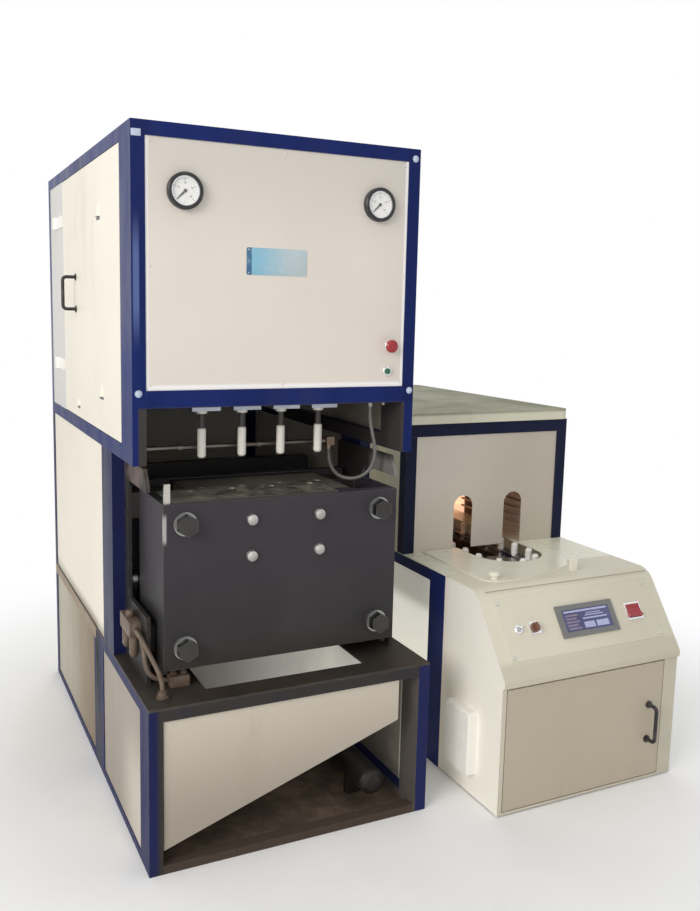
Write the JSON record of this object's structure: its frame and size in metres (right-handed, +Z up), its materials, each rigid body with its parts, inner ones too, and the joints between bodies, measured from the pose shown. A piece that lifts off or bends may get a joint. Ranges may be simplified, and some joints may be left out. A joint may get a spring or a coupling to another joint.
{
  "type": "blow moulding machine",
  "caption": "Stretch blow moulding press with sliding clamp plates and lifting blow head in a tall framed tower, with a preform oven and sloping console beside it.",
  "frame": {"origin": "middle of the whole machine's bounding box, on the floor", "axes": "+Z up, +X to the operator's right, +Y from the operator towards the machine's back"},
  "size_m": [1.89, 1.852, 2.1],
  "materials": {
    "navy_frame": "gloss navy paint",
    "dark_base": "dark worn paint",
    "cream_sheet": "satin cream powder coat",
    "greige_sheet": "satin warm grey powder coat",
    "dark_plate": "dark brown paint, oily",
    "charcoal_plate": "blackened machined steel",
    "ground_steel": "ground",
    "hard_chrome": "polished",
    "aluminium": "machined",
    "black_plastic": "moulded",
    "white_plastic": "moulded",
    "grey_hose": "satin tube",
    "screen_grey": "satin",
    "red_plastic": "moulded",
    "green_plastic": "moulded",
    "brown_plastic": "moulded",
    "lamp_glass": "glowing quartz",
    "gear_grey": "moulded"
  },
  "bodies": {
    "machine": {"base_frame": "dark_base", "base_plates": "dark_plate", "bottle_chute": "cream_sheet", "air_receiver": "dark_plate", "tower_panels": "cream_sheet", "waist_frame": "navy_frame", "head_frame": "navy_frame", "head_front_panel": "greige_sheet", "service_unit": "gear_grey", "door_catches": "white_plastic", "gauge_cases": "black_plastic", "switch_bezels": "hard_chrome", "clamp_side_plates": "charcoal_plate", "head_carrier": "charcoal_plate", "air_cylinders": "aluminium", "air_manifold": "ground_steel", "air_hose": "grey_hose", "heater_frame": "navy_frame", "heater_panels": "cream_sheet", "heater_deck": "cream_sheet", "loading_plate": "cream_sheet", "oven_front_panel": "greige_sheet", "oven_frame": "navy_frame", "oven_cover": "cream_sheet", "lamp_racks": "aluminium", "oven_lamps": "lamp_glass", "preform_chain": "ground_steel", "preform_holders": "white_plastic", "star_wheels": "ground_steel", "console_sides": "cream_sheet", "conveyor_bed": "dark_plate", "console_shell": "cream_sheet", "control_plate": "cream_sheet", "touch_panel": "screen_grey", "socket_box": "white_plastic", "control_gear": "gear_grey"},
    "front_clamp": {"front_platen": "charcoal_plate", "mould_front": "aluminium", "tie_bars": "hard_chrome", "platen_fasteners": "ground_steel", "clamp_cylinder": "charcoal_plate"},
    "rear_clamp": {"rear_platen": "charcoal_plate", "mould_rear": "aluminium", "clamp_piston": "hard_chrome"},
    "left_equaliser": {"equaliser_left": "ground_steel"},
    "right_equaliser": {"equaliser_right": "ground_steel"},
    "blowing_head": {"blow_head": "aluminium", "nozzles": "white_plastic"},
    "stretch_unit": {"stretch_rods": "ground_steel"},
    "side_door": {"head_door": "cream_sheet", "head_door_handle": "black_plastic"},
    "hatch": {"console_door": "greige_sheet", "console_door_handle": "black_plastic"},
    "stop_plunger": {"stop_button": "red_plastic"},
    "start_plunger": {"start_button": "green_plastic"},
    "left_needle": {"needle_left": "black_plastic"},
    "right_needle": {"needle_right": "black_plastic"},
    "key": {"key_switch": "ground_steel"},
    "selector": {"selector_switch": "brown_plastic"},
    "rocker": {"rocker_switch": "red_plastic"}
  },
  "joints": [
    {"name": "front_clamp_slide", "type": "slide", "parent": "machine", "child": "front_clamp", "axis": [0, -1, 0], "range_m": [0, 0.11]},
    {"name": "rear_clamp_slide", "type": "slide", "parent": "machine", "child": "rear_clamp", "axis": [0, 1, 0], "range_m": [0, 0.11]},
    {"name": "left_equaliser_pivot", "type": "hinge", "parent": "machine", "child": "left_equaliser", "pos_m": [-0.827, -0.25, 0.64], "axis": [-1, 0, 0], "range_deg": [0, 58.88]},
    {"name": "right_equaliser_pivot", "type": "hinge", "parent": "machine", "child": "right_equaliser", "pos_m": [-0.052, -0.25, 0.64], "axis": [-1, 0, 0], "range_deg": [0, 58.88]},
    {"name": "blow_head_lift", "type": "slide", "parent": "machine", "child": "blowing_head", "axis": [0, 0, -1], "range_m": [0, 0.092]},
    {"name": "stretch_slide", "type": "slide", "parent": "blowing_head", "child": "stretch_unit", "axis": [0, 0, -1], "range_m": [0, 0.26]},
    {"name": "side_door_hinge", "type": "hinge", "parent": "machine", "child": "side_door", "pos_m": [-0.885, -0.433, 1.629], "axis": [0, 0, 1], "range_deg": [0, 105]},
    {"name": "hatch_hinge", "type": "hinge", "parent": "machine", "child": "hatch", "pos_m": [0.225, -0.873, 0.22], "axis": [0, 0, -1], "range_deg": [0, 100]},
    {"name": "stop_press", "type": "slide", "parent": "machine", "child": "stop_plunger", "axis": [0, 1, 0], "range_m": [0, 0.004], "stiffness_N_per_m": 900, "springref_m": -0.002},
    {"name": "start_press", "type": "slide", "parent": "machine", "child": "start_plunger", "axis": [0, 1, 0], "range_m": [0, 0.004], "stiffness_N_per_m": 900, "springref_m": -0.002},
    {"name": "left_needle_turn", "type": "hinge", "parent": "machine", "child": "left_needle", "pos_m": [-0.742, -0.59, 1.92], "axis": [0, 1, 0], "range_deg": [0, 270]},
    {"name": "right_needle_turn", "type": "hinge", "parent": "machine", "child": "right_needle", "pos_m": [-0.129, -0.59, 1.923], "axis": [0, 1, 0], "range_deg": [0, 270]},
    {"name": "key_turn", "type": "hinge", "parent": "machine", "child": "key", "pos_m": [0.307, -0.80541, 0.5882], "axis": [0, 0.8227, -0.5685], "range_deg": [0, 90]},
    {"name": "selector_turn", "type": "hinge", "parent": "machine", "child": "selector", "pos_m": [0.37, -0.80654, 0.58655], "axis": [0, 0.8227, -0.5685], "range_deg": [0, 90]},
    {"name": "rocker_tilt", "type": "hinge", "parent": "machine", "child": "rocker", "pos_m": [0.7975, -0.80209, 0.58773], "axis": [1, 0, 0], "range_deg": [0, 16]}
  ],
  "couplings": [
    {"joint": "rear_clamp_slide", "follows": "front_clamp_slide", "ratio": 1},
    {"joint": "left_equaliser_pivot", "follows": "front_clamp_slide", "rad_per_m": 9.3391},
    {"joint": "right_equaliser_pivot", "follows": "front_clamp_slide", "rad_per_m": 9.3391}
  ]
}
